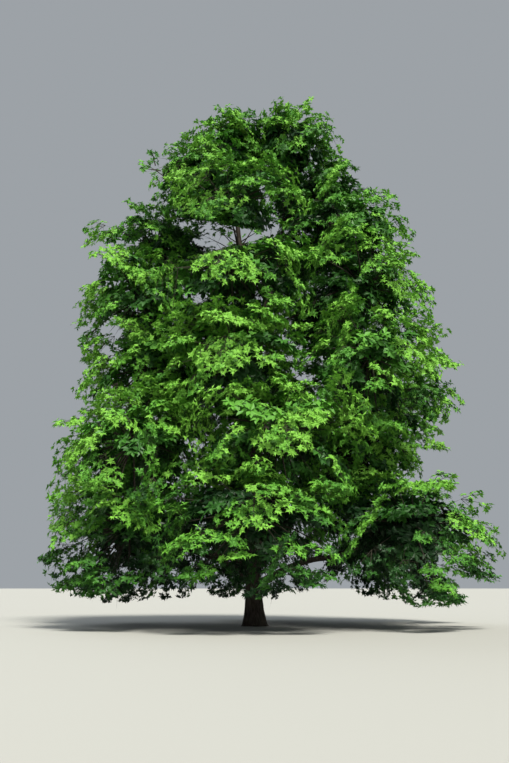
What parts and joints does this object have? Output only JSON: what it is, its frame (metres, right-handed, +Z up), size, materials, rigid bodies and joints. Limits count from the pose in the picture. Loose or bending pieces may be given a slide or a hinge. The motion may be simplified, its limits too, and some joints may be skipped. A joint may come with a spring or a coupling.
{
  "type": "oak tree",
  "caption": "Open-grown oak in full summer leaf: short bare trunk, broad cone of boughs in tiers with masses of leaf sprays, and a double top.",
  "frame": {"origin": "centre of the flat cut under the trunk, at ground level", "axes": "+Z up along the trunk; the side that the picture shows faces -Y; +X is the picture's right"},
  "size_m": [18.5147, 18.7513, 23.7271],
  "materials": {
    "bark": "rough, furrowed",
    "foliage": "satin leaves"
  },
  "bodies": {
    "root": {"high_bough_1": "bark", "high_bough_2": "bark", "high_bough_3": "bark", "high_bough_4": "bark", "high_bough_5": "bark", "high_foliage_1": "foliage", "high_foliage_2": "foliage", "high_foliage_3": "foliage", "high_foliage_4": "foliage", "high_foliage_5": "foliage", "low_bough_1": "bark", "low_bough_2": "bark", "low_bough_3": "bark", "low_bough_4": "bark", "low_bough_5": "bark", "low_bough_6": "bark", "low_foliage_1": "foliage", "low_foliage_2": "foliage", "low_foliage_3": "foliage", "low_foliage_4": "foliage", "low_foliage_5": "foliage", "low_foliage_6": "foliage", "middle_bough_1": "bark", "middle_bough_2": "bark", "middle_bough_3": "bark", "middle_bough_4": "bark", "middle_bough_5": "bark", "middle_bough_6": "bark", "middle_foliage_1": "foliage", "middle_foliage_2": "foliage", "middle_foliage_3": "foliage", "middle_foliage_4": "foliage", "middle_foliage_5": "foliage", "middle_foliage_6": "foliage", "second_leader": "bark", "shoulder_foliage_left": "foliage", "shoulder_foliage_right": "foliage", "skirt_bough_1": "bark", "skirt_bough_2": "bark", "skirt_bough_3": "bark", "skirt_bough_4": "bark", "skirt_bough_5": "bark", "skirt_bough_6": "bark", "skirt_foliage_1": "foliage", "skirt_foliage_2": "foliage", "skirt_foliage_3": "foliage", "skirt_foliage_4": "foliage", "skirt_foliage_5": "foliage", "skirt_foliage_6": "foliage", "top_foliage_left": "foliage", "top_foliage_right": "foliage", "trunk": "bark", "upper_bough_1": "bark", "upper_bough_2": "bark", "upper_bough_3": "bark", "upper_bough_4": "bark", "upper_foliage_1": "foliage", "upper_foliage_2": "foliage", "upper_foliage_3": "foliage", "upper_foliage_4": "foliage"}
  },
  "joints": []
}
